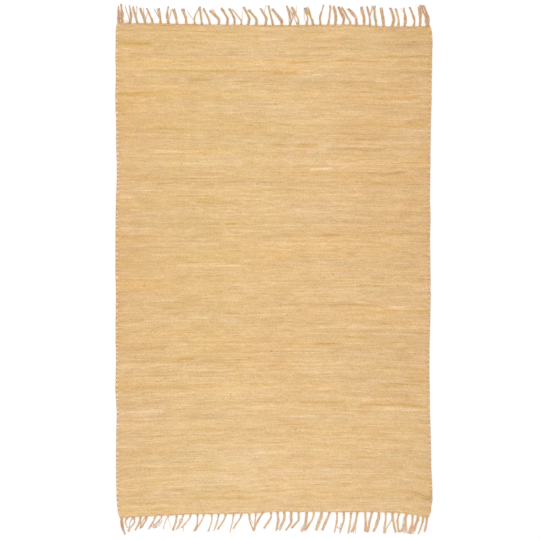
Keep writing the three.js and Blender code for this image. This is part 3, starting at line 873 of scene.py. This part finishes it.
def cut_fibres(yarns, tones, rng):
    """Fibres along the last stretch of each yarn, by the share s of their length beyond it,
    shifted sideways by the share and up or down as a whole."""
    tip = np.repeat(yarns[:, -1], FIBRES_PER_YARN, axis=0)
    heading = np.repeat(yarns[:, -1] - yarns[:, -3], FIBRES_PER_YARN, axis=0)
    heading /= np.linalg.norm(heading, axis=1, keepdims=True)
    count = len(tip)
    s = np.linspace(FIBRE_STARTS, 1, FIBRE_STEPS)[None, :]
    stretch = rng.uniform(*FIBRE_LENGTHS, (count, 1, 1))
    side = rng.normal(0, FIBRE_SIDE_SPREAD, (count, 1))
    paths = tip[:, None, :] + heading[:, None, :] * s[..., None] * stretch
    paths[..., 0] += side * s
    lift = rng.normal(0, FIBRE_RISE_SPREAD, (count, 1))
    paths[..., 2] = np.maximum(paths[..., 2] + lift, FIBRE_LOWEST)
    radii = FIBRE_RADIUS * (1 - FIBRE_TAPER * np.clip(s, 0, 1)) * np.ones((count, 1))
    shade = FIBRE_TONE_SPREAD * rng.standard_normal((count, 1, 1))
    colours = tones["tip"] + shade * np.ones((1, FIBRE_STEPS, 3))
    return paths, radii, FIBRE_SIDES, colours, 1


# A knot is a bundle of its lock's yarns, wound about twice round the neck.
KNOT_STEPS = 24
KNOT_RADIUS = 1.5
KNOT_TURNS = 2.1
KNOT_LENGTH = 3.6
KNOT_PLACE = (0.5, 1.5)
KNOT_HALF = 1.0
KNOT_WIDENS = 0.22
KNOT_HEIGHT = 3.1
KNOT_SWING = 1.5
KNOT_USUAL_WIDTH = 7.0
KNOT_LEAST_MOST = (0.6, 1.2)
KNOT_TONE_SPREAD = 6.0
KNOT_DARKER = 2.0


def knots(end, tassels, tones, rng):
    """A spiral for each knot, along the lock's middle line, with its own start angle."""
    locks = len(tassels["root"])
    width = tassels["width"][:, None]
    t = np.linspace(0, 1, KNOT_STEPS)[None, :]
    away = NECK_AT + rng.normal(*KNOT_PLACE, (locks, 1)) + (t - 0.5) * KNOT_LENGTH
    share = away / tassels["reach"][:, None]
    middle, bow, root_y = lock_middle(tassels, np.arange(locks), share, end)
    winding = t * 2 * math.pi * KNOT_TURNS + rng.uniform(0, 2 * math.pi, (locks, 1))
    x = middle + bow + (width * KNOT_WIDENS + KNOT_HALF) * np.cos(winding)
    y = root_y + end * (away - HEADING * ROOTED)
    z = KNOT_HEIGHT + KNOT_SWING * np.sin(winding)
    radii = KNOT_RADIUS * np.clip(width / KNOT_USUAL_WIDTH, *KNOT_LEAST_MOST) * np.ones_like(t)
    shade = KNOT_TONE_SPREAD * rng.standard_normal((locks, 1, 1)) * PALER - KNOT_DARKER
    colours = tones["root"] + shade * np.ones((1, KNOT_STEPS, 1))
    return np.stack([x, y, z], axis=-1), radii, YARN_SIDES, colours, 1


# The two picks of the heading: how far inside the end they lie, their radius, and how much
# taller they are than wide. They rise and fall over the warp ends, and wander and vary.
HEADING_PICKS = table("inside radius rise", [(3.9, 1.3, 1.5), (1.6, 1.2, 1.4)])
HEADING_STEPS = 532
HEADING_HEIGHT = 2.75
HEADING_SWING = 0.35
HEADING_WANDER_LAYERS = ((1, 9, 0.5),)
HEADING_SIZE_LAYERS = ((1, 5, 0.12),)
HEADING_PALER_LAYERS = ((1, 6, 7), (1, 40, 4))
HEADING_ROSE_LAYERS = ((1, 11, 3.5),)
HEADING_PALER = 1.3


def headings(end, tones, rng):
    """The two picks of the heading, each a group of one tube."""
    x = np.linspace(1 - HALF_WIDTH, HALF_WIDTH - 1, HEADING_STEPS)
    groups = []
    for row, (inside, radius, rise) in enumerate(zip(*HEADING_PICKS.values())):
        path_x, path_y = laid(x, np.full(HEADING_STEPS, end * (HALF_LENGTH - inside)))
        path_y = path_y + layered(rng, 1, HEADING_STEPS, HEADING_WANDER_LAYERS)[0]
        beat = math.pi * (np.interp(x, *WARPS.values()) + row)
        path_z = HEADING_HEIGHT + HEADING_SWING * np.cos(beat)
        radii = radius * (1 + layered(rng, 1, HEADING_STEPS, HEADING_SIZE_LAYERS))
        paler = layered(rng, 1, HEADING_STEPS, HEADING_PALER_LAYERS)[..., None]
        rose = layered(rng, 1, HEADING_STEPS, HEADING_ROSE_LAYERS)[..., None]
        # The outer pick's tone holds painted shade of the cloth's end.
        tone = tones[("inner", "outer")[row]]
        colours = tone + paler * PALER * HEADING_PALER + rose * ROSE
        path = np.stack([path_x, path_y, path_z], axis=-1)[None]
        groups.append((path, radii, YARN_SIDES, colours, rise))
    return groups


# Loose curls start on top of the other yarns and come down to the floor before their end.
CURL_RADIUS = 0.95
CURL_STEPS = 14
CURL_START = 2.2
CURL_DOWN = 1.6
CURL_REST = 0.2
CURL_TONE_SPREAD = 4.0


def loose_curls(end, curls, tones, rng):
    """Curls as quadratic curves, from the first point of each to the last and drawn towards
    the one between them."""
    t = np.linspace(0, 1, CURL_STEPS)[None, :]
    x0, away0, x1, away1, x2, away2 = [column[:, None] for column in curls.values()]
    x = x0 * (1 - t) ** 2 + 2 * x1 * t * (1 - t) + x2 * t**2
    away = away0 * (1 - t) ** 2 + 2 * away1 * t * (1 - t) + away2 * t**2
    _, edge = laid(x, np.full_like(x, end * HALF_LENGTH))
    z = YARN_RADIUS + CURL_START * (1 - eased(t * CURL_DOWN)) + CURL_REST
    shade = CURL_TONE_SPREAD * rng.standard_normal((len(x), 1, 1))
    colours = tones["curl"] + shade * np.ones((1, CURL_STEPS, 3))
    paths = np.stack([x, edge + end * away, np.broadcast_to(z, x.shape)], axis=-1)
    return paths, np.full(x.shape, CURL_RADIUS), YARN_SIDES, colours, 1


def fringe(name, end, tassels, strays, lock_tones, curls, tones, rng):
    """The locks, fibres, knots, heading and curls at one end, which is 1 or -1, in one."""
    yarns = lock_yarns(end, tassels, strays, lock_tones, tones, rng)
    groups = [yarns, cut_fibres(yarns[0], tones, rng), knots(end, tassels, tones, rng)]
    groups += headings(end, tones, rng)
    groups.append(loose_curls(end, curls, tones, rng))
    return tube_mesh(name, groups)


# Materials


def add(tree, kind, links=None, **settings):
    """Adds a node with its settings, and links or plain values for its inputs."""
    node = tree.nodes.new(kind)
    for name, value in settings.items():
        setattr(node, name, value)
    for key, value in (links or {}).items():
        if isinstance(value, bpy.types.NodeSocket):
            tree.links.new(value, node.inputs[key])
        else:
            node.inputs[key].default_value = value
    return node


def maths(tree, operation, *values):
    """The result of a math node."""
    return add(tree, "ShaderNodeMath", dict(enumerate(values)), operation=operation).outputs[0]


def vectors(tree, operation, *values):
    """The result of a vector math node, for vectors or colours."""
    links = dict(enumerate(values))
    return add(tree, "ShaderNodeVectorMath", links, operation=operation).outputs[0]


def scaled(tree, colour, share):
    """A vector or colour times one number."""
    links = {0: colour, "Scale": share}
    return add(tree, "ShaderNodeVectorMath", links, operation="SCALE").outputs[0]


def ranged(tree, value, source, target, clamp=True):
    """A value moved from its source range to the target range."""
    links = {"Value": value, "From Min": source[0], "From Max": source[1],
             "To Min": target[0], "To Max": target[1]}
    return add(tree, "ShaderNodeMapRange", links, clamp=clamp).outputs[0]


def noise(tree, place, scale, detail, roughness):
    """Soft noise at a place."""
    links = {"Vector": place, "Scale": scale, "Detail": detail, "Roughness": roughness}
    return add(tree, "ShaderNodeTexNoise", links).outputs["Fac"]


def chance(tree, place):
    """A random value from 0 to 1 for each place in the plane."""
    return add(tree, "ShaderNodeTexWhiteNoise", {"Vector": place}, noise_dimensions="2D").outputs[0]


def painted(tree, share, under, colour):
    """A share of a plain colour, given as a hex string, laid over the one under it."""
    links = {"Factor": share, 6: under, 7: tuple(linear(colour)) + (1.0,)}
    return add(tree, "ShaderNodeMix", links, data_type="RGBA").outputs[2]


def new_material(name):
    """A material with an empty node tree, and the tree."""
    material = bpy.data.materials.new(name)
    material.use_nodes = True
    material.node_tree.nodes.clear()
    return material, material.node_tree


def guide_parts(tree, name):
    """The dye, the guide of that name, and the guide's three numbers."""
    dye = add(tree, "ShaderNodeAttribute", attribute_name="dye").outputs["Color"]
    guide = add(tree, "ShaderNodeAttribute", attribute_name=name).outputs["Vector"]
    return dye, guide, add(tree, "ShaderNodeSeparateXYZ", {0: guide}).outputs


def matt_cotton(tree, colour, height, depth, roughness, sheen, sheen_roughness):
    """Ends a tree with matt cotton, whose bumps are depth metres high for a height of one."""
    bump = add(tree, "ShaderNodeBump", {
        "Strength": BUMP_STRENGTH, "Distance": depth, "Height": height})
    cotton = add(tree, "ShaderNodeBsdfPrincipled", {
        "Base Color": colour, "Roughness": roughness, "Specular IOR Level": COTTON_SPECULAR,
        "Sheen Weight": sheen, "Sheen Roughness": sheen_roughness, "Normal": bump.outputs[0]})
    add(tree, "ShaderNodeOutputMaterial", {"Surface": cotton.outputs[0]})


BUMP_STRENGTH = 0.6
COTTON_SPECULAR = 0.2

# How much a spot of the rag and the folds along it lighten or darken it, as a share, and how
# much painted light and shade follow the rise and fall over the warp ends.
SPOT_SHARE = 0.10
FOLD_SHARE = 0.37
RISE_PAINTED_LIGHT_SHARE = 0.03

# The same step in sRGB needs a larger share in the darker channels. Folds are creamier.
SPOT_CHANNELS = (1.0, 1.2, 1.6)
FOLD_CHANNELS = (1.0, 1.4, 2.2)

# Spots, folds and lint for each warp end and pick.
SPOT_COUNTS = (2.0, 3.0, 0.0)
FOLD_COUNTS = (0.065, 1.3, 0.0)
LINT_COUNTS = (1.2, 6.0, 0.0)

# Specks of seed or lint: how often a crossing has one, how dense it is, and its colour. The
# gaps between picks are darkened too, with painted shade.
SPECK_CHANCE = 0.0007
SPECK_SHARE = 0.32
SPECK_COLOUR = "#86663c"
GAP_PAINTED_SHADE_SHARE = 0.2
GAP_PAINTED_SHADE_COLOUR = "#9a7438"

# The heights of the folds and of the rise over a warp end, next to those of the lint.
FOLD_HEIGHT = 1.6
RISE_HEIGHT = 0.5
RAG_BUMP = 1.0 * MM


# Matt cotton rag, beaten hard: no gloss, soft fuzz, a bump over each warp end, creases
# along each rag, and now and then a dark speck of seed or lint.
def woven_cotton_rag():
    material, tree = new_material("woven_cotton_rag")
    dye, weave, (warp, pick, gap) = guide_parts(tree, "weave")
    warp_number = maths(tree, "FLOOR", warp)
    pick_number = maths(tree, "FLOOR", pick)
    crossing = add(tree, "ShaderNodeCombineXYZ", {0: warp_number, 1: pick_number}).outputs[0]
    spots = chance(tree, vectors(tree, "FLOOR", vectors(tree, "MULTIPLY", weave, SPOT_COUNTS)))
    fold_at = vectors(tree, "MULTIPLY", weave, FOLD_COUNTS)
    folds = noise(tree, fold_at, 1.0, detail=2.0, roughness=0.75)
    lint_at = vectors(tree, "MULTIPLY", weave, LINT_COUNTS)
    lint = noise(tree, lint_at, 1.0, detail=3.0, roughness=0.65)

    # The weft rises over every other warp end, and the next pick over the ends between.
    phase = maths(tree, "ADD", warp, pick_number)
    swing = maths(tree, "COSINE", maths(tree, "MULTIPLY", phase, math.pi))

    spot_tone = ranged(tree, spots, (0.0, 1.0), (-SPOT_SHARE, SPOT_SHARE))
    # Painted light: the weft is lighter where it rises over a warp end and darker where it dips.
    spot_tone_and_rise_light = maths(tree, "MULTIPLY_ADD", swing, RISE_PAINTED_LIGHT_SHARE, spot_tone)
    fold_tone = ranged(tree, folds, (0.0, 1.0), (-FOLD_SHARE / 2, FOLD_SHARE / 2), clamp=False)
    spotted_and_rise_lit = scaled(tree, SPOT_CHANNELS, spot_tone_and_rise_light)
    folded = scaled(tree, FOLD_CHANNELS, fold_tone)
    factor = vectors(tree, "ADD", vectors(tree, "ADD", spotted_and_rise_lit, folded), (1.0, 1.0, 1.0))
    toned = vectors(tree, "MULTIPLY", dye, factor)

    speck = maths(tree, "GREATER_THAN", chance(tree, crossing), 1 - SPECK_CHANCE)
    specked = painted(tree, maths(tree, "MULTIPLY", speck, SPECK_SHARE), toned, SPECK_COLOUR)
    # Painted shade in the gaps between picks.
    finished = painted(tree, maths(tree, "MULTIPLY", gap, GAP_PAINTED_SHADE_SHARE), specked, GAP_PAINTED_SHADE_COLOUR)

    rise = maths(tree, "MULTIPLY", swing, RISE_HEIGHT)
    crumple = maths(tree, "MULTIPLY_ADD", folds, FOLD_HEIGHT, rise)
    height = maths(tree, "ADD", crumple, lint)
    matt_cotton(tree, finished, height, RAG_BUMP, roughness=0.92, sheen=0.08, sheen_roughness=0.6)
    return material


# The two plies of a warp end make one turn in PLY_TURN millimetres, and its fuzz is FUZZ_SCALE
# to the metre. Painted shade darkens the groove between the plies, and the fuzz lightens or
# darkens it at random.
PLY_TURN = 5.0
PLY_PAINTED_SHADE = (0.84, 1.02)
FUZZ_SCALE = 900.0
FUZZ_TONES = (0.92, 1.08)
PLY_HEIGHT = 0.5
WARP_BUMP = 0.5 * MM


# Plied cotton warp, unbleached: matt, with a spiral groove between its plies and loose fuzz.
# Painted shade darkens the groove.
def plied_cotton_warp():
    material, tree = new_material("plied_cotton_warp")
    dye, _, (along, level, upright) = guide_parts(tree, "strand")
    round_place = maths(tree, "ARCTAN2", upright, level)
    wound = maths(tree, "MULTIPLY", along, 2 * math.pi / PLY_TURN)
    plies = maths(tree, "SINE", maths(tree, "MULTIPLY_ADD", round_place, 2.0, wound))
    place = add(tree, "ShaderNodeTexCoord").outputs["Object"]
    fuzz = noise(tree, place, FUZZ_SCALE, detail=3.0, roughness=0.5)
    ply_painted_shade = ranged(tree, plies, (-1.0, 0.2), PLY_PAINTED_SHADE)
    fuzz_tone = ranged(tree, fuzz, (0.3, 0.7), FUZZ_TONES)
    toned = scaled(tree, dye, maths(tree, "MULTIPLY", ply_painted_shade, fuzz_tone))
    height = maths(tree, "MULTIPLY_ADD", plies, PLY_HEIGHT, fuzz)
    matt_cotton(tree, toned, height, WARP_BUMP, roughness=0.9, sheen=0.1, sheen_roughness=0.5)
    return material


# Stage, light and camera

# The floor's half side in metres and its shade, the strengths of the two lights, and how
# wide the near one is and how it is turned, in degrees. Then the camera's lens in
# millimetres, and how far it sees in metres.
FLOOR_HALF = 12.0
FLOOR_SHADE = 0.96
STUDIO_STRENGTH = 0.86
KEY_STRENGTH = 0.9
KEY_WIDTH = 50
KEY_TURN = (28, -14, 0)
CAMERA_LENS = 150
CAMERA_REACH = 100


def stage():
    """A pale floor, an even studio light from all round and a soft one from the near left."""
    mesh = bpy.data.meshes.new("floor")
    corners = [(x * FLOOR_HALF, y * FLOOR_HALF, 0) for x, y in ((-1, -1), (1, -1), (1, 1), (-1, 1))]
    mesh.from_pydata(corners, [], [(0, 1, 2, 3)])
    floor = bpy.data.objects.new("floor", mesh)
    bpy.context.scene.collection.objects.link(floor)
    material, tree = new_material("pale_floor")
    paint = add(tree, "ShaderNodeBsdfPrincipled", {
        "Base Color": (FLOOR_SHADE, FLOOR_SHADE, FLOOR_SHADE, 1), "Roughness": 0.9,
        "Specular IOR Level": 0.1})
    add(tree, "ShaderNodeOutputMaterial", {"Surface": paint.outputs[0]})
    mesh.materials.append(material)

    world = bpy.data.worlds.new("studio")
    bpy.context.scene.world = world
    world.use_nodes = True
    background = world.node_tree.nodes["Background"]
    background.inputs["Color"].default_value = (1, 1, 1, 1)
    background.inputs["Strength"].default_value = STUDIO_STRENGTH

    key = bpy.data.lights.new("key", "SUN")
    key.energy = KEY_STRENGTH
    key.angle = math.radians(KEY_WIDTH)
    key_object = bpy.data.objects.new("key", key)
    key_object.rotation_euler = [math.radians(turn) for turn in KEY_TURN]
    bpy.context.scene.collection.objects.link(key_object)
    bpy.context.scene.view_settings.view_transform = "Standard"


def camera():
    """Straight above the rug with a long lens, so that 540 pixels show 2052 mm."""
    lens = bpy.data.cameras.new("camera")
    lens.lens = CAMERA_LENS
    lens.clip_end = CAMERA_REACH
    metres_per_pixel = MM_PER_PIXEL * MM
    away = PHOTO_SIDE * metres_per_pixel * lens.lens / lens.sensor_width
    x = (PHOTO_SIDE / 2 - PHOTO_MIDDLE[0]) * metres_per_pixel
    y = (PHOTO_MIDDLE[1] - PHOTO_SIDE / 2) * metres_per_pixel
    viewer = bpy.data.objects.new("camera", lens)
    viewer.location = (x, y, away)
    bpy.context.scene.collection.objects.link(viewer)
    bpy.context.scene.camera = viewer


stage()
camera()

# The pieces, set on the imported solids

rng = np.random.default_rng(SEED)
cloth = cloth_sheet(rng)
far_fringe = fringe(
    "knotted_fringe_far", 1, FAR_TASSELS, FAR_STRAYS, FAR_LOCK_TONES, FAR_CURLS, FAR_TONES,
    rng,
)
near_fringe = fringe(
    "knotted_fringe_near", -1, NEAR_TASSELS, NEAR_STRAYS, NEAR_LOCK_TONES, NEAR_CURLS,
    NEAR_TONES, rng,
)

rag = woven_cotton_rag()
warp = plied_cotton_warp()
for piece, node, slot, material in (
    (cloth, "woven_cloth", "rag_weft", rag),
    (far_fringe, "fringe_far_end", "warp_cotton", warp),
    (near_fringe, "fringe_near_end", "warp_cotton", warp),
):
    piece.data.materials.append(material)
    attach(piece, "root")
    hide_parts(node)
